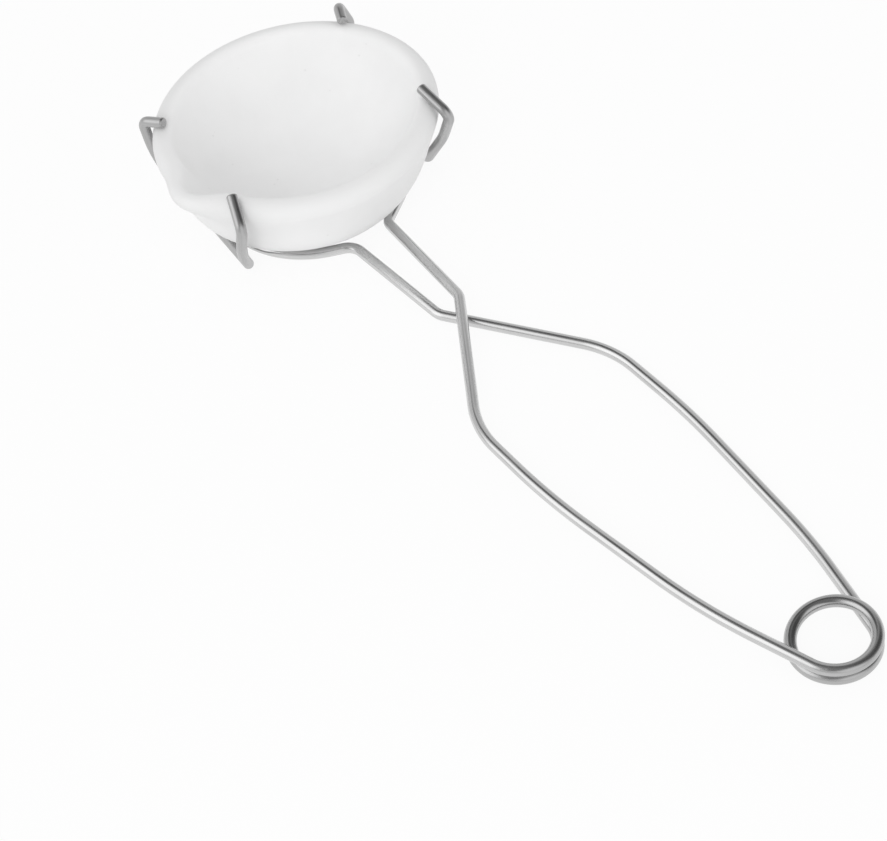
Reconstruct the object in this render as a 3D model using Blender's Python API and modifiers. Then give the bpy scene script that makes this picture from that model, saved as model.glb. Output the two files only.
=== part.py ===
"""Spring-wire tongs that hold a round melting dish by its rim.

One wire makes the coil and the two crossed arms. Each arm ends in a bow that hugs the dish, and
carries a second wire that is bent into two claws. Lengths are in metres and +Z is up. The origin
is the middle of the dish's base, and +X runs from the coil to the dish.
"""

import math

import bmesh
import bpy
from mathutils import Vector

# Wire and clearances
WIRE_DIAMETER = 0.0029
LAYER_GAP = 0.0005        # clear space between the coil's two layers, and where the arms cross
SEAM_GAP = 0.0003         # clear space between pieces that touch on the real tongs

# Spring coil
COIL_RADIUS = 0.0095      # to the middle of the wire
COIL_TO_DISH = 0.2054     # from the coil's axis to the dish's axis
COIL_LOOP_POINTS = 24

# Arm corners seen from above: share of the way from the coil's axis to the dish's axis, distance
# aside from the centre line, and the bend's radius to the middle of the wire
GRIP_START = (0.117, 0.0166, 0.160)
GRIP_WIDEST = (0.351, 0.0219, 0.200)
SHOULDER = (0.492, 0.0217, 0.028)
# In front of the shoulder the two arms were bent by hand, and differ a little
OVER_NECK = (0.688, -0.0033, 0.006)
UNDER_NECK = (0.688, -0.0030, 0.006)
# Fork of each arm: direction seen from the dish's axis in degrees aside from the centre line,
# distance out from the bow, and the bend's radius
OVER_FORK = (13.5, 0.0005, 0.004)
UNDER_FORK = (11.2, 0.0008, 0.005)
TAIL_LENGTH = 0.41        # straight end of an arm beside the claw wire, as a share of RIM_RADIUS

# Dish
RIM_RADIUS = 0.039
DISH_HEIGHT = 0.0283
# The outer wall follows a ball. Its radius is a share of RIM_RADIUS across and a share of DISH_HEIGHT
# up, and its centre lies above the rim by another share of DISH_HEIGHT
BALL_WIDTH = 0.964
BALL_DEPTH = 1.329
BALL_RISE = 0.053
DISH_WALL = 0.0055
DISH_FLOOR = 0.0045
RIM_ROUND = 0.0022
BASE_EASE = 0.0008        # height of the eased edge round the base
FLARE_POWER = 4           # the wall flares out to the rim only near its top
DISH_STEPS = 60
WALL_POINTS = 11
RIM_ARC_POINTS = 5

# Pour lip
LIP_ANGLE = math.radians(103)
LIP_HALF_ANGLE = math.radians(22)
LIP_REACH = 0.0034        # outer edge pulled out
LIP_CHANNEL = 0.0028      # inner edge pulled out
LIP_DROP = 0.0010
LIP_ROOT = 0.0125         # height at which the lip starts to swell

# Claws
CLAW_BEND = 0.0026        # bend radius to the middle of the wire
# Where the legs meet the run, measured along X from the dish's axis as shares of RIM_RADIUS
NEAR_FOOT = -0.346
FAR_FOOT = 0.554
# Corners of each claw from its tip down to its leg: direction seen from above in degrees, distance
# past the rim, height over the rim
OVER_NEAR_CLAW = ((-126.2, -0.0049, 0.0035), (-136.7, 0.0030, -0.0005))
OVER_FAR_CLAW = ((-55.8, -0.0036, 0.0026), (-51.2, 0.0016, 0.0038), (-56.0, 0.0039, -0.0040))
UNDER_NEAR_CLAW = ((120.4, -0.0025, 0.0033), (127.3, 0.0045, -0.0013))
UNDER_FAR_CLAW = ((57.3, -0.0038, 0.0025), (52.2, 0.0032, 0.0010))

# Weld beads
WELD_RADIUS = 0.0008
WELD_LENGTH = 0.005
WELD_PLACES = {"near": 0.115, "far": 0.31}     # along X from the dish's axis, shares of RIM_RADIUS
WELD_SWELL = (0.4, 0.85, 1.0, 0.85, 0.4)       # thickness along a bead

# Mesh fineness
ARC_STEP = math.radians(11)
ROUND_WIRE = 2
COIL_WIRE = 1
SMOOTH_ANGLE = math.radians(40)
MERGE_DISTANCE = 0.000003
BOW_SAMPLES = 200         # heights tried when the bow is fitted round the dish

# Looks
STEEL_LOOK = {"colour": (0.62, 0.62, 0.61), "metallic": 1.0, "roughness": 0.25}
SILICA_LOOK = {"colour": (0.86, 0.86, 0.85), "metallic": 0.0, "roughness": 0.5}

# Levels that follow from the wire
LOW_LEVEL = WIRE_DIAMETER / 2
HIGH_LEVEL = LOW_LEVEL + WIRE_DIAMETER + LAYER_GAP
WIRE_PITCH = WIRE_DIAMETER + SEAM_GAP

COLLECTION_NAME = "dish_tongs"


def clear_scene():
    for item in list(bpy.data.objects):
        bpy.data.objects.remove(item, do_unlink=True)


def make_collection(name):
    collection = bpy.data.collections.new(name)
    bpy.context.scene.collection.children.link(collection)
    return collection


def make_material(name, colour, metallic, roughness):
    material = bpy.data.materials.new(name)
    material.use_nodes = True
    shader = material.node_tree.nodes["Principled BSDF"]
    shader.inputs["Base Color"].default_value = (*colour, 1)
    shader.inputs["Metallic"].default_value = metallic
    shader.inputs["Roughness"].default_value = roughness
    material.diffuse_color = (*colour, 1)
    return material


def make_pivot(name, collection, along):
    pivot = bpy.data.objects.new(name, None)
    pivot.location = (along, 0, 0)
    collection.objects.link(pivot)
    return pivot


def smooth_step(value):
    value = min(1.0, max(0.0, value))
    return value * value * (3 - 2 * value)


def rounded_path(corners, bends):
    """Points along a bent wire: straight runs between corners, with each inner corner an arc."""
    points = [corners[0]]
    for before, corner, after, bend in zip(corners, corners[1:], corners[2:], bends):
        to_before = (before - corner).normalized()
        to_after = (after - corner).normalized()
        turn = math.pi - to_before.angle(to_after)
        setback = bend * math.tan(turn / 2)
        centre = corner + (to_before + to_after).normalized() * bend / math.cos(turn / 2)
        first = corner + to_before * setback - centre
        last = corner + to_after * setback - centre
        count = max(3, math.ceil(turn / ARC_STEP))
        for step in range(count + 1):
            swing = turn * step / count
            arm = first * math.sin(turn - swing) + last * math.sin(swing)
            points.append(centre + arm / math.sin(turn))
    points.append(corners[-1])
    return points


def make_wire(name, points, radius, fineness, material, collection, pivot, swell=None):
    """A round wire through the points, which are measured from the pivot."""
    curve = bpy.data.curves.new(name, "CURVE")
    curve.dimensions = "3D"
    curve.bevel_depth = radius
    curve.bevel_resolution = fineness
    curve.use_fill_caps = True
    spline = curve.splines.new("POLY")
    spline.points.add(len(points) - 1)
    for index, (target, place) in enumerate(zip(spline.points, points)):
        target.co = (*place, 1)
        target.radius = swell[index] if swell else 1.0
    spline.use_smooth = True
    curve.materials.append(material)
    wire = bpy.data.objects.new(name, curve)
    wire.parent = pivot
    collection.objects.link(wire)
    return wire


def ball_radius_at(height):
    """Outer radius of the dish's ball-shaped wall, without the flare to the rim."""
    below_centre = DISH_HEIGHT * (1 + BALL_RISE) - height
    return RIM_RADIUS * BALL_WIDTH * math.sqrt(1 - (below_centre / (DISH_HEIGHT * BALL_DEPTH)) ** 2)


def outer_radius_at(height):
    top = DISH_HEIGHT - RIM_ROUND
    flare = RIM_RADIUS - ball_radius_at(top)
    return ball_radius_at(height) + flare * (height / top) ** FLARE_POWER


def inner_radius_at(height):
    below_rim = (DISH_HEIGHT - height) / (DISH_HEIGHT - DISH_FLOOR)
    return (RIM_RADIUS - DISH_WALL) * math.sqrt(max(0.0, 1 - below_rim ** 2))


def corner_arc(centre_radius, centre_height, from_angle, to_angle):
    arc = []
    for step in range(RIM_ARC_POINTS):
        angle = from_angle + (to_angle - from_angle) * step / (RIM_ARC_POINTS - 1)
        radius = centre_radius + RIM_ROUND * math.cos(angle)
        arc.append((radius, centre_height + RIM_ROUND * math.sin(angle)))
    return arc


def dish_profile():
    """Radius and height from the bowl's floor up the inside, over the rim and down the outside."""
    top = DISH_HEIGHT - RIM_ROUND
    profile = [(0.0, DISH_FLOOR)]
    for step in range(1, WALL_POINTS):
        rise = 1 - math.cos(math.pi / 2 * step / WALL_POINTS)
        height = DISH_FLOOR + (top - DISH_FLOOR) * rise
        profile.append((inner_radius_at(height), height))
    profile += corner_arc(RIM_RADIUS - DISH_WALL + RIM_ROUND, top, math.pi, math.pi / 2)
    profile += corner_arc(RIM_RADIUS - RIM_ROUND, top, math.pi / 2, 0)
    for step in range(1, WALL_POINTS + 1):
        height = top + (BASE_EASE - top) * step / WALL_POINTS
        profile.append((outer_radius_at(height), height))
    profile.append((outer_radius_at(0) - BASE_EASE, 0.0))
    profile.append((0.0, 0.0))
    return profile


def pull_lip(mesh):
    """Pulls the pour lip out of the turned rim, most at the middle of the lip and at the top."""
    for vertex in mesh.vertices:
        radius = math.hypot(vertex.co.x, vertex.co.y)
        height = vertex.co.z
        aside = math.atan2(vertex.co.y, vertex.co.x) - LIP_ANGLE
        aside = abs(math.remainder(aside, math.tau)) / LIP_HALF_ANGLE
        if aside >= 1 or height <= LIP_ROOT:
            continue
        across = math.cos(math.pi / 2 * aside) ** 2
        pull = across * smooth_step((height - LIP_ROOT) / (DISH_HEIGHT - LIP_ROOT))
        inward = (outer_radius_at(min(height, DISH_HEIGHT - RIM_ROUND)) - radius) / DISH_WALL
        inward = min(1.0, max(0.0, inward))
        reach = LIP_REACH + (LIP_CHANNEL - LIP_REACH) * inward
        grown = 1 + reach * pull / radius
        vertex.co.x *= grown
        vertex.co.y *= grown
        vertex.co.z -= LIP_DROP * pull


def make_dish(material, collection, pivot):
    profile = dish_profile()
    outline = bpy.data.meshes.new("dish_outline")
    places = [(radius, 0, height) for radius, height in profile]
    outline.from_pydata(places, [(i, i + 1) for i in range(len(places) - 1)], [])
    turned = bpy.data.objects.new("dish_outline", outline)
    collection.objects.link(turned)
    screw = turned.modifiers.new("turn", "SCREW")
    screw.steps = DISH_STEPS
    screw.render_steps = DISH_STEPS
    screw.use_merge_vertices = True
    screw.merge_threshold = MERGE_DISTANCE
    bpy.context.view_layer.update()
    evaluated = turned.evaluated_get(bpy.context.evaluated_depsgraph_get())
    mesh = bpy.data.meshes.new_from_object(evaluated)
    bpy.data.objects.remove(turned, do_unlink=True)
    shape = bmesh.new()
    shape.from_mesh(mesh)
    bmesh.ops.remove_doubles(shape, verts=shape.verts, dist=MERGE_DISTANCE)
    shape.to_mesh(mesh)
    shape.free()
    pull_lip(mesh)
    mesh.name = "melting_dish"
    mesh.shade_smooth()
    mesh.set_sharp_from_angle(angle=SMOOTH_ANGLE)
    mesh.materials.clear()
    mesh.materials.append(material)
    dish = bpy.data.objects.new("melting_dish", mesh)
    dish.parent = pivot
    collection.objects.link(dish)
    return dish


def bow_radius():
    """Least radius at which a wire lying on the bench clears the whole outer wall of the dish."""
    clear = WIRE_DIAMETER / 2 + SEAM_GAP
    best = 0.0
    for step in range(BOW_SAMPLES + 1):
        height = (LOW_LEVEL + clear) * step / BOW_SAMPLES
        reach = math.sqrt(max(0.0, clear ** 2 - (height - LOW_LEVEL) ** 2))
        best = max(best, outer_radius_at(height) + reach)
    return best


def coil_tangent_angle():
    """Angle round the coil's axis at which the straight wire to GRIP_START leaves the coil."""
    share, aside, _ = GRIP_START
    along = share * COIL_TO_DISH
    return math.atan2(aside, along) + math.acos(COIL_RADIUS / math.hypot(along, aside))


def coil_points():
    """Both arms leave from level turns. Between them the wire drops by one layer."""
    start = coil_tangent_angle()
    wound = 2 * math.tau - 2 * start
    level = wound - math.tau
    count = math.ceil(COIL_LOOP_POINTS * wound / math.tau)
    points = []
    for step in range(count + 1):
        turned = wound * step / count
        drop = smooth_step((turned - level) / (math.tau - level))
        height = HIGH_LEVEL + (LOW_LEVEL - HIGH_LEVEL) * drop
        angle = start + turned
        points.append(Vector((COIL_RADIUS * math.cos(angle), COIL_RADIUS * math.sin(angle), height)))
    return points


def least_self_gap(points):
    """Clear space between the layers of the coil, measured between points half a turn or more apart."""
    apart = COIL_LOOP_POINTS // 2
    nearest = min(
        (first - second).length
        for index, first in enumerate(points)
        for second in points[index + apart:]
    )
    return nearest - WIRE_DIAMETER


def arm_points(side, back_level, neck, fork):
    """side is +1 for the arm whose grip lies at +Y, and its jaw crosses to -Y."""
    bow = bow_radius()
    angle = coil_tangent_angle()
    path = [Vector((COIL_RADIUS * math.cos(angle), side * COIL_RADIUS * math.sin(angle), back_level))]
    corners = [GRIP_START, GRIP_WIDEST, SHOULDER, neck]
    path += [Vector((share * COIL_TO_DISH, side * aside, back_level)) for share, aside, _ in corners]
    path[0] += (path[1] - path[0]).normalized() * SEAM_GAP
    fork_angle = math.radians(fork[0])
    fork_reach = bow + fork[1]
    fork_along = COIL_TO_DISH - fork_reach * math.cos(fork_angle)
    path.append(Vector((fork_along, -side * fork_reach * math.sin(fork_angle), LOW_LEVEL)))
    # The wire leaves the fork along a tangent to the bow, and leaves the bow along X
    touch = math.pi - fork_angle - math.acos(bow / fork_reach)
    corner_along = bow * (1 - math.sin(touch)) / math.cos(touch)
    path.append(Vector((COIL_TO_DISH + corner_along, -side * bow, LOW_LEVEL)))
    path.append(Vector((COIL_TO_DISH + TAIL_LENGTH * RIM_RADIUS, -side * bow, LOW_LEVEL)))
    bends = [corner[2] for corner in corners + [fork]] + [bow]
    return rounded_path(path, bends)


def claw_corners(claw):
    places = []
    for direction, past_rim, over_rim in claw:
        angle = math.radians(direction)
        radius = RIM_RADIUS + past_rim
        across = (COIL_TO_DISH + radius * math.cos(angle), radius * math.sin(angle))
        places.append(Vector((*across, DISH_HEIGHT + over_rim)))
    return places


def claw_points(side, near, far):
    """Down the near claw from its tip, along the run beside the arm, and up the far claw."""
    run = side * (bow_radius() + WIRE_PITCH)
    places = [COIL_TO_DISH + foot * RIM_RADIUS for foot in (NEAR_FOOT, FAR_FOOT)]
    feet = [Vector((along, run, LOW_LEVEL)) for along in places]
    path = claw_corners(near) + feet + claw_corners(far)[::-1]
    return rounded_path(path, [CLAW_BEND] * (len(path) - 2))


def weld_points(side, place):
    """A bead in the groove over the arm's tail and the claw wire's run."""
    seat = WIRE_DIAMETER / 2 + WELD_RADIUS + SEAM_GAP
    height = LOW_LEVEL + math.sqrt(seat ** 2 - (WIRE_PITCH / 2) ** 2)
    aside = side * (bow_radius() + WIRE_PITCH / 2)
    last = len(WELD_SWELL) - 1
    start = COIL_TO_DISH + place * RIM_RADIUS - WELD_LENGTH / 2
    return [Vector((start + WELD_LENGTH * step / last, aside, height)) for step in range(last + 1)]


def make_jaw(name, side, arm, claws, steel, collection):
    """One arm with its claws. side is the side of its grip; its claws are on the other side."""
    pivot = make_pivot(f"{name}_arm_pivot", collection, -COIL_TO_DISH)
    radius = WIRE_DIAMETER / 2
    make_wire(f"{name}_arm", arm, radius, ROUND_WIRE, steel, collection, pivot)
    make_wire(f"{name}_claw_wire", claws, radius, ROUND_WIRE, steel, collection, pivot)
    for label, place in WELD_PLACES.items():
        bead = f"{name}_weld_{label}"
        points = weld_points(-side, place)
        make_wire(bead, points, WELD_RADIUS, ROUND_WIRE, steel, collection, pivot, WELD_SWELL)


def build():
    clear_scene()
    collection = make_collection(COLLECTION_NAME)
    steel = make_material("polished_steel", **STEEL_LOOK)
    silica = make_material("white_silica", **SILICA_LOOK)

    coil = coil_points()
    coil_pivot = make_pivot("coil_axis", collection, -COIL_TO_DISH)
    make_wire("spring_coil", coil, WIRE_DIAMETER / 2, COIL_WIRE, steel, collection, coil_pivot)
    print(f"spring coil: least gap to itself {least_self_gap(coil) * 1000:.2f} mm")

    over_arm = arm_points(1, HIGH_LEVEL, OVER_NECK, OVER_FORK)
    over_claws = claw_points(-1, OVER_NEAR_CLAW, OVER_FAR_CLAW)
    make_jaw("over", 1, over_arm, over_claws, steel, collection)
    under_arm = arm_points(-1, LOW_LEVEL, UNDER_NECK, UNDER_FORK)
    under_claws = claw_points(1, UNDER_NEAR_CLAW, UNDER_FAR_CLAW)
    make_jaw("under", -1, under_arm, under_claws, steel, collection)

    dish_axis = make_pivot("dish_axis", collection, 0)
    make_dish(silica, collection, dish_axis)


build()
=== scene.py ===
import math

import bpy
import numpy as np
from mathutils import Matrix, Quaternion, Vector


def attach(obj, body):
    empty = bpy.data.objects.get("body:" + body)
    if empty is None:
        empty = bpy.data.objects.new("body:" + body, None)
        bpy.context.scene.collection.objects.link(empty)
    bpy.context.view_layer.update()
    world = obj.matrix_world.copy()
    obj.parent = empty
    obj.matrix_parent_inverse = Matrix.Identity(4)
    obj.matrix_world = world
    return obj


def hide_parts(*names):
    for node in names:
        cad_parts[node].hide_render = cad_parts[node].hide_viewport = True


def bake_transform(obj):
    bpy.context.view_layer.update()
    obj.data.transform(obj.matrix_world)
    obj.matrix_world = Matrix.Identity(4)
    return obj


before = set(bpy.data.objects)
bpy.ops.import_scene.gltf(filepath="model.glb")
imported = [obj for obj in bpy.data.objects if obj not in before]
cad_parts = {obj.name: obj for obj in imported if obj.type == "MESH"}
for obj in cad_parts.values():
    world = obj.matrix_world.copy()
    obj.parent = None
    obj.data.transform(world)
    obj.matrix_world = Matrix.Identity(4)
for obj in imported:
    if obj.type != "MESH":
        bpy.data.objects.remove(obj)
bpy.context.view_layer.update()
print("frame loaded")

# sizes that several pieces share, in metres
wireRadius = 0.00145
layerGap = 0.0002  # between the coil's two layers
seamGap = 0.0001   # between wires that lie side by side
lowLevel = wireRadius
highLevel = lowLevel + 2 * wireRadius + layerGap
coilToDish = 0.2054
rimRadius = 0.039
dishHeight = 0.0283
bumpDepth = 0.0002

# every wire: ring to ring in metres, and its cut ends as shares of its radius or of its edge
wireMesh = {"sides": 36, "step": 0.0006, "arcPoints": 48}
cutFace = {"edge": 0.38, "leans": (15, 30, 45, 60, 75, 90, 90), "innerRing": 0.5, "innerRise": 1.03,
           "middleRise": 1.05}


def smoothStep(value):
    # 3 t squared - 2 t cubed, with t held between 0 and 1
    value = np.clip(value, 0, 1)
    return value * value * (3 - 2 * value)


def travelledAlong(points):
    # distance along the line from its first point to each point: the running sum of its steps
    steps = np.linalg.norm(np.diff(points, axis=0), axis=1)
    return np.concatenate([[0], np.cumsum(steps)])


def evenly(points, step):
    # the same line with its points at equal distances along it
    travelled = travelledAlong(points)
    wanted = np.linspace(0, travelled[-1], max(3, int(round(travelled[-1] / step)) + 1))
    return np.stack([np.interp(wanted, travelled, points[:, k]) for k in range(3)], axis=1)


def bentPath(corners, bends):
    # straight runs with an arc at each inner corner:
    # centre + (first arm sin(turn - a) + last arm sin a) / sin(turn)
    corners = np.asarray(corners, float)
    points = [corners[:1]]
    for before, corner, after, bend in zip(corners, corners[1:], corners[2:], bends):
        toBefore = (before - corner) / np.linalg.norm(before - corner)
        toAfter = (after - corner) / np.linalg.norm(after - corner)
        turn = math.pi - math.acos(float(np.clip(toBefore @ toAfter, -1, 1)))
        middle = toBefore + toAfter
        centre = corner + middle / np.linalg.norm(middle) * bend / math.cos(turn / 2)
        setback = bend * math.tan(turn / 2)
        first = corner + toBefore * setback - centre
        last = corner + toAfter * setback - centre
        swing = np.linspace(0, turn, wireMesh["arcPoints"])[:, None]
        points.append(centre + (first * np.sin(turn - swing) + last * np.sin(swing)) / math.sin(turn))
    points.append(corners[-1:])
    return evenly(np.concatenate(points), wireMesh["step"])


def carriedFrame(points, reference):
    # tangent of the line, the reference direction made square to it, and the cross product of the two
    tangents = np.gradient(points, axis=0)
    tangents /= np.linalg.norm(tangents, axis=1, keepdims=True)
    reference = np.asarray(reference, float)
    normals = reference - (tangents @ reference)[:, None] * tangents
    normals /= np.linalg.norm(normals, axis=1, keepdims=True)
    return {"tangents": tangents, "normals": normals, "binormals": np.cross(tangents, normals)}


def gridMesh(name, rings, along, startPole, endPole, normals=None):
    # quads between each ring and the next, closed round the ring, and a fan of triangles to each pole
    count, sides = rings.shape[:2]
    vertices = np.concatenate([rings.reshape(-1, 3), [startPole], [endPole]])
    grids = np.meshgrid(np.arange(count - 1), np.arange(sides), indexing="ij")
    row, place = (grid.ravel() for grid in grids)
    after = (place + 1) % sides
    here = row * sides
    there = here + sides
    faces = np.stack([here + place, here + after, there + after, there + place], axis=1).tolist()
    u = np.stack([along[row], along[row], along[row + 1], along[row + 1]], axis=1)
    v = np.stack([place, place + 1, place + 1, place], axis=1) / sides
    uv = [np.stack([u, v], axis=2).reshape(-1, 2)]
    ring = np.arange(sides)
    turns = [ring / sides, (ring + 1) / sides, (ring + 0.5) / sides]
    for first, pole, level, order in ((0, count * sides, along[0], (1, 0, 2)),
                                      ((count - 1) * sides, count * sides + 1, along[-1], (0, 1, 2))):
        corners = [first + ring, first + (ring + 1) % sides, np.full(sides, pole)]
        faces += np.stack([corners[k] for k in order], axis=1).tolist()
        fan = [np.stack([np.full(sides, level), turns[k]], axis=1) for k in order]
        uv.append(np.stack(fan, axis=1).reshape(-1, 2))
    mesh = bpy.data.meshes.new(name)
    mesh.from_pydata(vertices.tolist(), [], faces)
    layer = mesh.uv_layers.new(name="UVMap")
    layer.data.foreach_set("uv", np.concatenate(uv).astype(np.float32).ravel())
    mesh.shade_smooth()
    if normals is not None:
        mesh.normals_split_custom_set_from_vertices(normals.tolist())
    piece = bpy.data.objects.new(name, mesh)
    bpy.context.scene.collection.objects.link(piece)
    return piece


def cutEnd(centre, forward, side):
    # rings over a cut end: radius - edge + edge cos outward and edge sin forward,
    # then a face with a slight crown
    edge = cutFace["edge"] * wireRadius
    lean = np.radians(np.array(cutFace["leans"]))
    shrink = wireRadius - edge + edge * np.cos(lean)
    shrink[-1] *= cutFace["innerRing"]
    reach = edge * np.sin(lean)
    reach[-1] *= cutFace["innerRise"]
    rings = centre + reach[:, None, None] * forward + shrink[:, None, None] * side
    normals = np.cos(lean)[:, None, None] * side + np.sin(lean)[:, None, None] * forward
    return rings, normals, reach, centre + cutFace["middleRise"] * edge * forward


def wirePiece(name, points, carried, travelled, cutStart=False, cutFinish=False):
    # a round tube: ring = centre + radius (cos a normal + sin a binormal), with cut ends where asked for
    turn = (np.arange(wireMesh["sides"]) * math.tau / wireMesh["sides"])[None, :, None]
    outward = np.cos(turn) * carried["normals"][:, None] + np.sin(turn) * carried["binormals"][:, None]
    rings = [points[:, None] + wireRadius * outward]
    normals = [outward]
    along = [travelled]
    backward = -carried["tangents"][0]
    forward = carried["tangents"][-1]
    startPole = points[0]
    endPole = points[-1]
    if cutStart:
        cap, capNormals, reach, startPole = cutEnd(points[0], backward, outward[0])
        rings.insert(0, cap[::-1])
        normals.insert(0, capNormals[::-1])
        along.insert(0, travelled[0] - reach[::-1])
    if cutFinish:
        cap, capNormals, reach, endPole = cutEnd(points[-1], forward, outward[-1])
        rings.append(cap)
        normals.append(capNormals)
        along.append(travelled[-1] + reach)
    normals = np.concatenate([np.concatenate(normals).reshape(-1, 3), [backward], [forward]])
    return gridMesh(name, np.concatenate(rings), np.concatenate(along), startPole, endPole, normals)


def finishPiece(piece, material, node):
    # its material, and the CAD node that it stands for, which it hides
    piece.data.materials.append(material)
    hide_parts(node)


# node helpers
mixSockets = {"RGBA": (6, 7, 2), "FLOAT": (2, 3, 0)}  # first, second and result among a Mix node's sockets


def opaque(colour):
    # three channels and full cover
    return (*colour, 1)


def newGroup(name, inputs, outputs):
    group = bpy.data.node_groups.new(name, "ShaderNodeTree")
    for label, kind, value in inputs:
        socket = group.interface.new_socket(label, in_out="INPUT", socket_type=kind)
        socket.default_value = value
    for label, kind in outputs:
        group.interface.new_socket(label, in_out="OUTPUT", socket_type=kind)
    return group, group.nodes.new("NodeGroupInput"), group.nodes.new("NodeGroupOutput")


def newMaterial(name):
    material = bpy.data.materials.new(name)
    material.use_nodes = True
    return material, material.node_tree, material.node_tree.nodes["Principled BSDF"]


def addNode(tree, kind, inputs=None, **settings):
    # a node with its settings, then its inputs: a socket is linked, anything else is a value
    node = tree.nodes.new(kind)
    for label, value in settings.items():
        setattr(node, label, value)
    for label, value in (inputs or {}).items():
        if isinstance(value, bpy.types.NodeSocket):
            tree.links.new(value, node.inputs[label])
        else:
            node.inputs[label].default_value = value
    return node


def addMath(tree, operation, first, second=0.0):
    return addNode(tree, "ShaderNodeMath", {0: first, 1: second}, operation=operation).outputs[0]


def addMix(tree, factor, first, second, kind="RGBA", **settings):
    # first where the factor is 0, second where it is 1
    firstSocket, secondSocket, result = mixSockets[kind]
    values = {"Factor": factor, firstSocket: first, secondSocket: second}
    return addNode(tree, "ShaderNodeMix", values, data_type=kind, **settings).outputs[result]


def addNoise(tree, vector, scale, detail, roughness):
    values = {"Vector": vector, "Scale": scale, "Detail": detail, "Roughness": roughness}
    return addNode(tree, "ShaderNodeTexNoise", values).outputs["Fac"]


def addRange(tree, value, fromLow, fromHigh, toLow=0.0, toHigh=1.0):
    values = {"Value": value, "From Min": fromLow, "From Max": fromHigh, "To Min": toLow, "To Max": toHigh}
    return addNode(tree, "ShaderNodeMapRange", values, interpolation_type="SMOOTHSTEP").outputs["Result"]


def addBump(tree, shader, strength, height):
    bump = addNode(tree, "ShaderNodeBump", {"Strength": strength, "Distance": bumpDepth, "Height": height})
    tree.links.new(bump.outputs["Normal"], shader.inputs["Normal"])


def uvPlace(tree):
    # U is metres along the piece, V the share of the way round it
    uv = addNode(tree, "ShaderNodeUVMap", uv_map="UVMap").outputs["UV"]
    return addNode(tree, "ShaderNodeSeparateXYZ", {"Vector": uv}).outputs


# grain that follows a wire: how fast a noise runs along it and round it, then its detail and roughness
wireGrain = {
    "lines": (55, 7, 6.0, 0.65), "patches": (70, 0.9, 3.0, 0.55), "nicks": (900, 3.2, 2.0, 0.5),
    "lineShare": 0.55, "toneRange": (0.3, 0.7), "wearRange": (0.35, 0.7),
    "nickRange": (0.70, 0.78), "nickDepth": 0.6, "nickRough": 0.1,
}


def makeDrawnWireGroup():
    inputs = [("Dark", "NodeSocketColor", (0.5, 0.5, 0.5, 1)),
              ("Bright", "NodeSocketColor", (0.6, 0.6, 0.6, 1)),
              ("Polish", "NodeSocketFloat", 0.2), ("Wear", "NodeSocketFloat", 0.1)]
    outputs = [("Colour", "NodeSocketColor"), ("Roughness", "NodeSocketFloat"),
               ("Height", "NodeSocketFloat")]
    group, given, made = newGroup("drawnWire", inputs, outputs)
    place = uvPlace(group)
    angle = addMath(group, "MULTIPLY", place["Y"], math.tau)
    across = addMath(group, "COSINE", angle)
    up = addMath(group, "SINE", angle)

    def drawnNoise(lengthways, sideways, detail, roughness):
        # slow along the wire, fast round it, and closed where the round meets itself
        values = {"X": addMath(group, "MULTIPLY", place["X"], lengthways),
                  "Y": addMath(group, "MULTIPLY", across, sideways),
                  "Z": addMath(group, "MULTIPLY", up, sideways)}
        vector = addNode(group, "ShaderNodeCombineXYZ", values).outputs["Vector"]
        return addNoise(group, vector, 1.0, detail, roughness)

    lines = drawnNoise(*wireGrain["lines"])
    patches = drawnNoise(*wireGrain["patches"])
    nick = addRange(group, drawnNoise(*wireGrain["nicks"]), *wireGrain["nickRange"])
    lineTone = addMath(group, "MULTIPLY", lines, wireGrain["lineShare"])
    patchTone = addMath(group, "MULTIPLY", patches, 1 - wireGrain["lineShare"])
    tone = addRange(group, addMath(group, "ADD", lineTone, patchTone), *wireGrain["toneRange"])
    worn = addRange(group, patches, *wireGrain["wearRange"])
    worn = addMath(group, "MULTIPLY", given.outputs["Wear"], worn)
    rough = addMath(group, "ADD", given.outputs["Polish"], worn)
    rough = addMath(group, "ADD", rough, addMath(group, "MULTIPLY", nick, wireGrain["nickRough"]))
    height = addMath(group, "SUBTRACT", lines, addMath(group, "MULTIPLY", nick, wireGrain["nickDepth"]))
    colour = addMix(group, tone, given.outputs["Dark"], given.outputs["Bright"])
    group.links.new(colour, made.inputs["Colour"])
    group.links.new(rough, made.inputs["Roughness"])
    group.links.new(height, made.inputs["Height"])
    return group


drawnWire = makeDrawnWireGroup()


def makeWireSteel(name, look, coilStretch=None):
    # drawn steel, with painted shade darkening the stretch of wire in the coil where one is given
    material, tree, shader = newMaterial(name)
    values = {"Dark": opaque(look["dark"]), "Bright": opaque(look["bright"]), "Polish": look["polish"],
              "Wear": look["wear"]}
    grain = addNode(tree, "ShaderNodeGroup", values, node_tree=drawnWire).outputs
    colour = grain["Colour"]
    if coilStretch:
        first, last = coilStretch
        # painted shade: the coil's stretch of wire is darkened, fading out past its ends
        half = (last - first) / 2
        apart = addMath(tree, "ABSOLUTE", addMath(tree, "SUBTRACT", uvPlace(tree)["X"], (first + last) / 2))
        tone = addRange(tree, apart, half - look["coilFade"], half + look["coilFade"], look["coilShadeTone"], 1.0)
        colour = addMix(tree, 1.0, colour, tone, blend_type="MULTIPLY")
    tree.links.new(colour, shader.inputs["Base Color"])
    tree.links.new(grain["Roughness"], shader.inputs["Roughness"])
    addBump(tree, shader, look["bump"], grain["Height"])
    shader.inputs["Metallic"].default_value = 1.0
    return material


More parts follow.
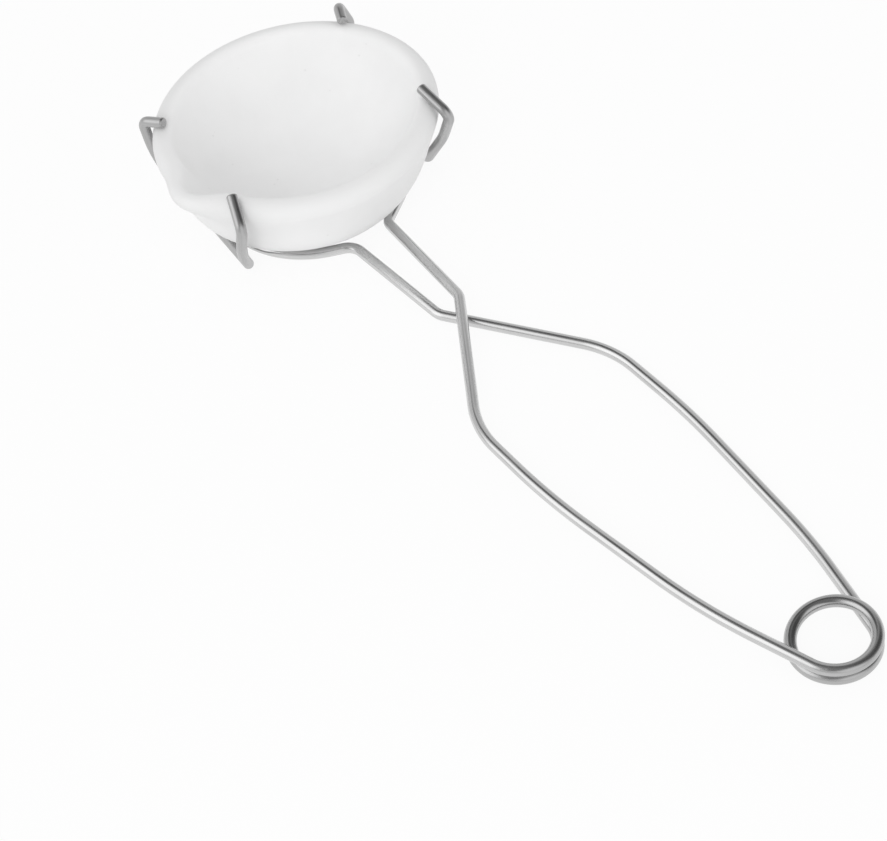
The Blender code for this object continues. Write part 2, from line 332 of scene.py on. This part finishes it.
# the long wire: a corner is its share of the way from coil to dish, metres aside, and bend radius;
# a fork is degrees round the dish, metres outside the bow, and bend radius
longWire = {
    "coilRadius": 0.0095, "coilAlong": -0.00035, "coilAside": -0.0005, "coilSteps": 240,
    "tail": 0.016, "tailAside": 0.0257, "toeIn": 4.5,  # the tail's end, metres aside, degrees turned in
    "over": {"gripStart": (0.117, 0.01655, 0.160), "gripWidest": (0.351, 0.02195, 0.200),
             "shoulder": (0.492, 0.02150, 0.028), "neck": (0.684, -0.0027, 0.006),
             "fork": (14.1, 0.0017, 0.004), "bowRadius": 0.0257},
    "under": {"gripStart": (0.117, 0.01595, 0.160), "gripWidest": (0.351, 0.02110, 0.200),
              "shoulder": (0.492, 0.02105, 0.028), "neck": (0.688, -0.0037, 0.006),
              "fork": (10.6, 0.0011, 0.005), "bowRadius": 0.02715},
}
toeIn = math.radians(longWire["toeIn"])


def asideAt(along, distance):
    # a line that toes in: (its distance from the axis - along sin) / cos
    return (distance - along * math.sin(toeIn)) / math.cos(toeIn)


def coilTangentAngle(arm, side):
    # where a line from the grip's start touches the coil: its own angle + arc cosine of radius over distance
    share, gripAside, _ = longWire[arm]["gripStart"]
    along = share * coilToDish - longWire["coilAlong"]
    aside = gripAside - side * longWire["coilAside"]
    return math.atan2(aside, along) + math.acos(longWire["coilRadius"] / math.hypot(along, aside))


def armPath(arm, side, level):
    # from the coil along the grip, over the shoulder to the neck, down to the fork,
    # and round the bow to the tail
    angle = coilTangentAngle(arm, side)
    radius = longWire["coilRadius"]
    leaveAlong = longWire["coilAlong"] + radius * math.cos(angle)
    leaveAside = longWire["coilAside"] + side * radius * math.sin(angle)
    corners = [longWire[arm][corner] for corner in ("gripStart", "gripWidest", "shoulder", "neck")]
    path = [(leaveAlong, leaveAside, level)]
    path += [(share * coilToDish, side * aside, level) for share, aside, _ in corners]
    bow = longWire[arm]["bowRadius"]
    forkDegrees, standoff, forkBend = longWire[arm]["fork"]
    forkAngle = math.radians(forkDegrees)
    forkReach = bow + standoff
    forkAside = -side * forkReach * math.sin(forkAngle)
    path.append((coilToDish - forkReach * math.cos(forkAngle), forkAside, lowLevel))
    touch = math.pi - forkAngle - math.acos(bow / forkReach)
    tailAside = longWire["tailAside"]
    meet = (bow * math.cos(toeIn) - tailAside * math.sin(touch)) / math.cos(touch + toeIn)
    for along in (meet, longWire["tail"]):
        path.append((coilToDish + along, -side * asideAt(along, tailAside), lowLevel))
    bends = [bend for _, _, bend in corners] + [forkBend, bow]
    return bentPath(path, bends) - (coilToDish, 0, 0)


def coilPath():
    # radius (cos a, sin a) with the height falling by one layer on the side that faces the dish
    start = coilTangentAngle("over", 1)
    wound = 2 * math.tau - start - coilTangentAngle("under", -1)
    turned = np.linspace(0, wound, longWire["coilSteps"] + 1)
    level = wound - math.tau
    height = highLevel + (lowLevel - highLevel) * smoothStep((turned - level) / (math.tau - level))
    radius = longWire["coilRadius"]
    around = np.stack([radius * np.cos(start + turned), radius * np.sin(start + turned), height], axis=1)
    middle = int(round((math.tau - start) / wound * longWire["coilSteps"]))
    return around + (longWire["coilAlong"] - coilToDish, longWire["coilAside"], 0), middle


overArm = armPath("over", 1, highLevel)
underArm = armPath("under", -1, lowLevel)
coil, coilMiddle = coilPath()
wholeWire = np.concatenate([overArm[::-1], coil[1:], underArm[1:]])
wireFrame = carriedFrame(wholeWire, (0, 0, 1))
wireTravelled = travelledAlong(wholeWire)
coilStart = len(overArm) - 1
coilFinish = coilStart + len(coil) - 1
coilHalf = coilStart + coilMiddle

springSteel = {"dark": (0.56, 0.56, 0.56), "bright": (0.70, 0.70, 0.70), "polish": 0.17, "wear": 0.12,
               "bump": 0.06, "coilShadeTone": 0.76, "coilFade": 0.012}  # painted shade darkens the coil's wire
coilStretch = (float(wireTravelled[coilStart]), float(wireTravelled[coilFinish]))
springSteelMaterial = makeWireSteel("springSteel", springSteel, coilStretch)


def wireStretch(name, first, last, **ends):
    # the long wire's tube from one of its points to another
    carried = {key: value[first:last + 1] for key, value in wireFrame.items()}
    return wirePiece(name, wholeWire[first:last + 1], carried, wireTravelled[first:last + 1], **ends)


overArmWire = wireStretch("overArmWire", 0, coilStart, cutStart=True)
finishPiece(overArmWire, springSteelMaterial, "over_arm")
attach(overArmWire, "over_jaw")
underArmWire = wireStretch("underArmWire", coilFinish, len(wholeWire) - 1, cutFinish=True)
finishPiece(underArmWire, springSteelMaterial, "under_arm")
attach(underArmWire, "under_jaw")

# the coil in two halves, each meeting the arm that it runs into
for name, first, last, body, side in (("upperCoilWire", coilStart, coilHalf, "over_jaw", 1),
                                      ("lowerCoilWire", coilHalf, coilFinish, "under_jaw", -1)):
    halfCoil = wireStretch(name, first, last)
    finishPiece(halfCoil, springSteelMaterial, "spring_coil")
    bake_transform(halfCoil)
print("long wire made")

# claws: corners from tip to leg, each as degrees round the dish, metres past the rim and metres over it;
# a leg bows away from the dish at half its height, and the feet are shares of the rim's radius along X
claws = {
    "bend": 0.0026, "legBend": 0.045, "nearFoot": -0.346, "farFoot": 0.554,
    "overNear": {"corners": ((-126.6, -0.0046, 0.00345), (-136.7, 0.0032, -0.0005)), "legBow": 0.0012},
    "overFar": {"corners": ((-56.6, -0.0036, 0.0027), (-52.0, 0.0015, 0.0036), (-54.0, 0.0038, -0.0040)),
                "legBow": 0.0004},
    "underNear": {"corners": ((120.85, -0.0020, 0.00258), (127.3, 0.0047, -0.0025)), "legBow": 0.0026},
    "underFar": {"corners": ((57.3, -0.0038, 0.0026), (52.2, 0.0022, 0.0011)), "legBow": 0.0026},
}
clawSteel = {"dark": (0.41, 0.41, 0.41), "bright": (0.51, 0.51, 0.51), "polish": 0.27, "wear": 0.15,
             "bump": 0.08}
clawSteelMaterial = makeWireSteel("clawSteel", clawSteel)


def clawPath(side, jaw):
    # down the near claw from its tip, along the run beside the arm, and up the far claw
    runAside = longWire["tailAside"] + 2 * wireRadius + seamGap

    def cornersAndBends(claw, footShare):
        corners = []
        for degrees, past, over in claw["corners"]:
            angle = math.radians(degrees)
            reach = rimRadius + past
            corners.append((reach * math.cos(angle), reach * math.sin(angle), dishHeight + over))
        along = footShare * rimRadius
        foot = (along, side * asideAt(along, runAside), lowLevel)
        middle = (np.array(corners[-1]) + foot) / 2
        away = np.array([middle[0], middle[1], 0])
        knee = middle + away / np.linalg.norm(away) * claw["legBow"]
        bends = [claws["bend"]] * (len(corners) - 1) + [claws["legBend"], claws["bend"]]
        return corners + [tuple(knee), foot], bends

    nearCorners, nearBends = cornersAndBends(claws[jaw + "Near"], claws["nearFoot"])
    farCorners, farBends = cornersAndBends(claws[jaw + "Far"], claws["farFoot"])
    return bentPath(nearCorners + farCorners[::-1], nearBends + farBends[::-1])


for jaw, side in (("over", -1), ("under", 1)):
    path = clawPath(side, jaw)
    carried = carriedFrame(path, (0, 1, 0))
    travelled = travelledAlong(path)
    clawWire = wirePiece(jaw + "ClawWire", path, carried, travelled, cutStart=True, cutFinish=True)
    finishPiece(clawWire, clawSteelMaterial, jaw + "_claw_wire")
    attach(clawWire, jaw + "_jaw")
print("claws made")

# weld beads in the groove over an arm's tail and a claw wire's run, at shares of the rim's radius along X
weldBead = {
    "places": {"near": 0.115, "far": 0.31}, "length": 0.0056, "width": 0.00135, "height": 0.00085,
    "fullness": 0.8, "sink": 0.00035, "ripples": 5, "rippleDepth": 0.08, "rippleLean": 0.16,
    "rings": 61, "sides": 28, "lastRing": 0.995,
    "bare": (0.46, 0.46, 0.46), "burnt": (0.20, 0.19, 0.185), "scaleNoise": (700, 4, 0.6),
    "scaleRange": (0.4, 0.62), "roughness": (0.28, 0.6), "bump": 0.25, "bumpNoise": (2600, 3, 0.6),
}


def weldSurface(name, side, along):
    # a long bead: width and height times a power of the root of 1 - t squared,
    # with ripples along it that lean back at the sides
    t = np.linspace(-weldBead["lastRing"], weldBead["lastRing"], weldBead["rings"])[:, None]
    a = np.arange(weldBead["sides"])[None] * math.tau / weldBead["sides"]
    swell = np.sqrt(1 - t ** 2) ** weldBead["fullness"]
    wave = math.pi * weldBead["ripples"] * (t + weldBead["rippleLean"] * np.cos(a) ** 2)
    swell = swell * (1 + weldBead["rippleDepth"] * np.cos(wave))
    half = weldBead["length"] / 2
    middle = side * asideAt(along, longWire["tailAside"] + wireRadius + seamGap / 2)
    level = 2 * wireRadius - weldBead["sink"]
    across = weldBead["width"] * swell * np.cos(a)
    x = along + t * half * math.cos(toeIn) + across * side * math.sin(toeIn)
    y = middle - t * half * side * math.sin(toeIn) + across * math.cos(toeIn)
    z = level + weldBead["height"] * swell * np.sin(a)
    startPole, endPole = [(along + end * math.cos(toeIn), middle - end * side * math.sin(toeIn), level)
                          for end in (-half, half)]
    return gridMesh(name, np.stack([x, y, z], axis=2), (t[:, 0] + 1) * half, startPole, endPole)


def makeWeldSteel():
    # bare steel with burnt scale in patches
    material, tree, shader = newMaterial("weldSteel")
    place = addNode(tree, "ShaderNodeTexCoord").outputs["Object"]
    scale = addRange(tree, addNoise(tree, place, *weldBead["scaleNoise"]), *weldBead["scaleRange"])
    colour = addMix(tree, scale, opaque(weldBead["bare"]), opaque(weldBead["burnt"]))
    tree.links.new(colour, shader.inputs["Base Color"])
    tree.links.new(addRange(tree, scale, 0.0, 1.0, *weldBead["roughness"]), shader.inputs["Roughness"])
    addBump(tree, shader, weldBead["bump"], addNoise(tree, place, *weldBead["bumpNoise"]))
    shader.inputs["Metallic"].default_value = 1.0
    return material


weldSteelMaterial = makeWeldSteel()
for jaw, side in (("over", -1), ("under", 1)):
    for label, share in weldBead["places"].items():
        bead = weldSurface(f"{jaw}{label.title()}Weld", side, share * rimRadius)
        finishPiece(bead, weldSteelMaterial, f"{jaw}_weld_{label}")
        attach(bead, jaw + "_jaw")
print("welds made")

# the dish in metres and degrees; the ball its wall follows is in shares of the rim's radius and the height
dishShape = {
    "wall": 0.0055, "floor": 0.0045, "rimRise": 0.0008, "outerRound": 0.0036, "innerRound": 0.0026,
    "roundLean": 23.0, "baseEase": 0.0008, "flarePower": 4,
    "ballWidth": 0.964, "ballDepth": 1.329, "ballRise": 0.053,
    "belly": 0.0012, "bellyHeight": 0.010, "bellySpread": 0.006, "bellyFrom": 0.002, "bellyFull": 0.006,
    "bellyLean": 0.6, "bellyDegrees": 90,  # the belly is fuller on this side
    "taper": 0.0024, "taperHeight": 0.0038,
    "lipDegrees": 99, "lipHalfDegrees": 19, "lipReach": 0.0038, "lipChannel": 0.0048, "lipDrop": 0.0004,
    "lipRoot": 0.0180,
    "flatDegrees": -145, "flatHalfDegrees": 60, "flatShare": 0.023, "flatRoot": 0.008,  # out of round
    "around": 300, "baseMiddle": 0.05,
    "rings": {"base": 16, "ease": 7, "wall": 60, "outerRound": 28, "innerRound": 12, "hollow": 70},
}
rimLean = math.radians(dishShape["roundLean"])
rimTop = dishHeight + dishShape["rimRise"]
wallTop = rimTop - dishShape["outerRound"] * (1 + math.sin(rimLean))
wallTopRadius = rimRadius - dishShape["outerRound"] * (1 - math.cos(rimLean))


def ballRadius(height):
    # half width times the root of 1 - (depth below the ball's middle over its half depth) squared
    below = dishHeight * (1 + dishShape["ballRise"]) - height
    depth = dishHeight * dishShape["ballDepth"]
    return rimRadius * dishShape["ballWidth"] * np.sqrt(1 - (below / depth) ** 2)


def bellySwell(height):
    # a bell curve about the belly's height that dies away before the base
    bell = np.exp(-((height - dishShape["bellyHeight"]) / dishShape["bellySpread"]) ** 2)
    low = dishShape["bellyFrom"]
    return bell * smoothStep((height - low) / (dishShape["bellyFull"] - low))


def outerRadius(height):
    # the ball, a flare that grows with a power of the height, and the belly, less a taper near the base
    flare = wallTopRadius - ballRadius(wallTop)
    flared = flare * np.clip(height / wallTop, 0, 1) ** dishShape["flarePower"]
    taper = dishShape["taper"] * np.exp(-(height / dishShape["taperHeight"]) ** 2)
    return ballRadius(height) + flared + dishShape["belly"] * bellySwell(height) - taper


def dishProfile():
    # radius and height from the middle of the base, up the outside, over the rim
    # and down a hollow ball to the floor
    rings = dishShape["rings"]
    outerRound = dishShape["outerRound"]
    innerRound = dishShape["innerRound"]
    ease = dishShape["baseEase"]
    mouth = rimRadius - dishShape["wall"]
    depth = rimTop - dishShape["floor"]
    hollow = (mouth ** 2 + depth ** 2) / (2 * depth)
    hollowMiddle = dishShape["floor"] + hollow
    drop = hollowMiddle - rimTop + innerRound
    innerMiddle = math.sqrt((hollow + innerRound) ** 2 - drop ** 2)
    meet = math.atan2(drop, -innerMiddle)

    def arc(middleRadius, middleHeight, radius, first, last, count):
        lean = np.linspace(first, last, count)
        return np.stack([middleRadius + radius * np.cos(lean), middleHeight + radius * np.sin(lean)], axis=1)

    flatRadius = outerRadius(ease) - ease
    base = np.linspace(dishShape["baseMiddle"], 1, rings["base"]) * flatRadius
    height = np.linspace(ease, wallTop, rings["wall"])
    upright = math.pi / 2
    return np.concatenate([
        np.stack([base, 0 * base], axis=1),
        arc(flatRadius, ease, ease, -upright, 0, rings["ease"])[1:-1],
        np.stack([outerRadius(height), height], axis=1),
        arc(rimRadius - outerRound, rimTop - outerRound, outerRound, -rimLean, upright,
            rings["outerRound"])[1:],
        arc(innerMiddle, rimTop - innerRound, innerRound, upright, meet, rings["innerRound"]),
        arc(0, hollowMiddle, hollow, meet - math.pi, -upright, rings["hollow"])[1:-1],
    ])


silicaProfile = dishProfile()
silicaAlong = travelledAlong(silicaProfile)
crestRing = int(np.argmax(silicaProfile[:, 1]))


def facing(turn, degrees, halfDegrees):
    # cos squared of the share of a half angle to either side of one direction
    apart = (turn - math.radians(degrees) + math.pi) % math.tau - math.pi
    share = np.clip(np.abs(apart) / math.radians(halfDegrees), 0, 1)
    return np.cos(math.pi / 2 * share) ** 2


def dishSurface():
    # the profile turned round the axis: radius (1 - flat side) + lip + the belly's lean times cos a
    turn = np.arange(dishShape["around"]) * math.tau / dishShape["around"]
    radius = silicaProfile[:, :1] + 0 * turn
    height = silicaProfile[:, 1:] + 0 * turn
    root = dishShape["lipRoot"]
    pull = facing(turn, dishShape["lipDegrees"], dishShape["lipHalfDegrees"])
    pull = pull * smoothStep((height - root) / (rimTop - root))
    inward = np.clip((outerRadius(np.minimum(height, wallTop)) - radius) / dishShape["wall"], 0, 1)
    reach = dishShape["lipReach"] + (dishShape["lipChannel"] - dishShape["lipReach"]) * inward
    flat = facing(turn, dishShape["flatDegrees"], dishShape["flatHalfDegrees"])
    flat = dishShape["flatShare"] * flat * smoothStep(height / dishShape["flatRoot"])
    lean = np.cos(turn - math.radians(dishShape["bellyDegrees"]))
    lean = dishShape["belly"] * dishShape["bellyLean"] * lean
    outside = (np.arange(len(silicaProfile)) < crestRing)[:, None]
    radius = radius * (1 - flat) + reach * pull + outside * lean * bellySwell(height)
    height = height - dishShape["lipDrop"] * pull
    rings = np.stack([radius * np.cos(turn), radius * np.sin(turn), height], axis=2)
    return gridMesh("meltingDish", rings, silicaAlong, (0, 0, 0), (0, 0, dishShape["floor"]))


# noises are scale, detail and roughness; the band of painted shade round the rim is in metres from the crest
silicaLook = {
    "pale": (0.95, 0.95, 0.95), "shade": (0.93, 0.93, 0.93), "cloudNoise": (70, 3, 0.55),
    "cloudRange": (0.35, 0.65),
    "rimShade": (0.885, 0.885, 0.885), "rimShadeOut": (-0.0075, -0.0045), "rimShadeIn": (-0.0010, 0.0020),
    "speck": (0.82, 0.82, 0.82), "speckShare": 0.6, "pitScale": 330, "pitRange": (0.05, 0.14),
    "rareNoise": (160, 1, 0.5), "rareRange": (0.56, 0.64),
    "grainNoise": (1400, 3, 0.6), "grainRange": (0.3, 0.7), "grainDepth": 0.5, "roughness": (0.5, 0.66),
    "bump": 0.12, "specular": 0.35,
}


def makeSilica():
    # pale clouds, a band of painted shade round the rim, and rare pits, all in a fine grain
    material, tree, shader = newMaterial("whiteSilica")
    place = addNode(tree, "ShaderNodeTexCoord").outputs["Object"]
    cloud = addRange(tree, addNoise(tree, place, *silicaLook["cloudNoise"]), *silicaLook["cloudRange"])
    body = addMix(tree, cloud, opaque(silicaLook["pale"]), opaque(silicaLook["shade"]))
    # painted shade: the rim and the top of the outer wall darkened, fading out just inside the crest
    away = addMath(tree, "SUBTRACT", uvPlace(tree)["X"], float(silicaAlong[crestRing]))
    rim = addMath(tree, "MULTIPLY", addRange(tree, away, *silicaLook["rimShadeOut"]),
                  addRange(tree, away, *silicaLook["rimShadeIn"], 1.0, 0.0))
    body = addMix(tree, rim, body, opaque(silicaLook["rimShade"]))
    cells = addNode(tree, "ShaderNodeTexVoronoi", {"Vector": place, "Scale": silicaLook["pitScale"]})
    pit = addRange(tree, cells.outputs["Distance"], *silicaLook["pitRange"], 1.0, 0.0)
    rare = addRange(tree, addNoise(tree, place, *silicaLook["rareNoise"]), *silicaLook["rareRange"])
    pit = addMath(tree, "MULTIPLY", pit, rare)
    speck = addMath(tree, "MULTIPLY", pit, silicaLook["speckShare"])
    tree.links.new(addMix(tree, speck, body, opaque(silicaLook["speck"])), shader.inputs["Base Color"])
    grain = addNoise(tree, place, *silicaLook["grainNoise"])
    rough = addRange(tree, grain, *silicaLook["grainRange"], *silicaLook["roughness"])
    tree.links.new(rough, shader.inputs["Roughness"])
    height = addMath(tree, "SUBTRACT", addMath(tree, "MULTIPLY", grain, silicaLook["grainDepth"]), pit)
    addBump(tree, shader, silicaLook["bump"], height)
    shader.inputs["Specular IOR Level"].default_value = silicaLook["specular"]
    return material


meltingDish = dishSurface()
finishPiece(meltingDish, makeSilica(), "melting_dish")
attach(meltingDish, "dish")
print("dish made")

# a pale floor that the camera sees as white, apart from the object's shadow
stageLook = {"floorSize": 6.0, "floorLevel": -0.0001, "floorColour": (0.92, 0.92, 0.92),
             "floorRoughness": 0.9, "whiteShare": 0.92}


def makeFloor():
    half = stageLook["floorSize"] / 2
    sides = ((-1, -1), (1, -1), (1, 1), (-1, 1))
    corners = [(x * half, y * half, stageLook["floorLevel"]) for x, y in sides]
    mesh = bpy.data.meshes.new("floor")
    mesh.from_pydata(corners, [], [(0, 1, 2, 3)])
    floor = bpy.data.objects.new("floor", mesh)
    bpy.context.scene.collection.objects.link(floor)
    material, tree, shader = newMaterial("paleFloor")
    shader.inputs["Base Color"].default_value = opaque(stageLook["floorColour"])
    shader.inputs["Roughness"].default_value = stageLook["floorRoughness"]
    shader.inputs["Specular IOR Level"].default_value = 0.0
    rays = addNode(tree, "ShaderNodeLightPath").outputs
    seen = addMath(tree, "MAXIMUM", rays["Is Camera Ray"], rays["Is Glossy Ray"])
    seen = addMath(tree, "MULTIPLY", seen, stageLook["whiteShare"])
    white = addNode(tree, "ShaderNodeEmission", {"Color": (1, 1, 1, 1), "Strength": 1.0})
    mixed = addNode(tree, "ShaderNodeMixShader", {"Fac": seen, 1: shader.outputs[0], 2: white.outputs[0]})
    tree.links.new(mixed.outputs[0], tree.nodes["Material Output"].inputs["Surface"])
    mesh.materials.append(material)


makeFloor()

# studio light all round; a patch is azimuth, elevation, and full and faded half angles in degrees,
# then its brightness
studio = {
    "fill": 0.796, "darkSide": (-112, 44, 25, 65, 0.63),  # even light, and the side where it is weaker
    "mirrored": 0.72,                                     # what the steel reflects between the patches
    "patches": [
        (-60, 84, 20, 42, 0.24),   # dark overhead
        (-112, 44, 18, 44, 0.10),  # dark side of the room
        (-8, 60, 9, 21, 0.12),     # dark panel beyond the dish
        (122, 54, 12, 28, 0.24),   # dark panel over the lip's side
        (70, 34, 18, 36, 1.50),    # pale window
        (174, 20, 14, 34, 1.00),   # pale wall
    ],
}


def pointing(azimuth, elevation):
    # (cos e cos a, cos e sin a, sin e)
    a = math.radians(azimuth)
    e = math.radians(elevation)
    return (math.cos(e) * math.cos(a), math.cos(e) * math.sin(a), math.sin(e))


def makeStudio():
    world = bpy.data.worlds.new("studio")
    bpy.context.scene.world = world
    world.use_nodes = True
    tree = world.node_tree
    direction = addNode(tree, "ShaderNodeTexCoord").outputs["Generated"]

    def withPatch(level, azimuth, elevation, full, faded, brightness):
        # the level so far, and inside the patch its own brightness
        values = {0: direction, 1: pointing(azimuth, elevation)}
        near = addNode(tree, "ShaderNodeVectorMath", values, operation="DOT_PRODUCT").outputs["Value"]
        mask = addRange(tree, near, math.cos(math.radians(faded)), math.cos(math.radians(full)))
        return addMix(tree, mask, level, brightness, "FLOAT")

    even = withPatch(studio["fill"], *studio["darkSide"])
    mirrored = studio["mirrored"]
    for patch in studio["patches"]:
        mirrored = withPatch(mirrored, *patch)
    rays = addNode(tree, "ShaderNodeLightPath").outputs
    level = addMix(tree, rays["Is Glossy Ray"], even, mirrored, "FLOAT")
    level = addMix(tree, rays["Is Camera Ray"], level, 1.0, "FLOAT")
    background = tree.nodes["Background"]
    background.inputs["Color"].default_value = (1, 1, 1, 1)
    tree.links.new(level, background.inputs["Strength"])


makeStudio()

# soft lamps shade the dish and stay out of the steel's reflections:
# azimuth and elevation in degrees, then watts
lamps = {"distance": 1.2, "size": 0.6, "key": (130, 38, 2.8), "side": (208, 6, 1.8)}


def makeLamp(name):
    azimuth, elevation, watts = lamps[name]
    data = bpy.data.lights.new(name + "Lamp", "AREA")
    data.size = lamps["size"]
    data.energy = watts
    lamp = bpy.data.objects.new(name + "Lamp", data)
    towards = Vector(pointing(azimuth, elevation))
    lamp.location = towards * lamps["distance"]
    lamp.rotation_mode = "QUATERNION"
    lamp.rotation_quaternion = towards.to_track_quat("Z", "Y")
    lamp.visible_glossy = False
    bpy.context.scene.collection.objects.link(lamp)


makeLamp("key")
makeLamp("side")

cameraView = {"place": (-0.413224, 0.195643, 0.403418), "target": (-0.092962, 0.023814, 0.0),
              "rollDegrees": -11.0972, "focalPixels": 2200, "imageWidth": 887, "sensorWidth": 36,
              "clip": (0.01, 20)}


def makeCamera():
    data = bpy.data.cameras.new("photoView")
    data.sensor_fit = "HORIZONTAL"
    data.sensor_width = cameraView["sensorWidth"]
    data.lens = cameraView["focalPixels"] / cameraView["imageWidth"] * data.sensor_width
    data.clip_start, data.clip_end = cameraView["clip"]
    camera = bpy.data.objects.new("photoView", data)
    camera.location = cameraView["place"]
    forward = Vector(cameraView["target"]) - Vector(cameraView["place"])
    roll = Quaternion((0, 0, 1), math.radians(cameraView["rollDegrees"]))
    camera.rotation_mode = "QUATERNION"
    camera.rotation_quaternion = forward.to_track_quat("-Z", "Y") @ roll
    bpy.context.scene.collection.objects.link(camera)
    bpy.context.scene.camera = camera


makeCamera()
bpy.context.scene.view_settings.view_transform = "Standard"
print("stage made")
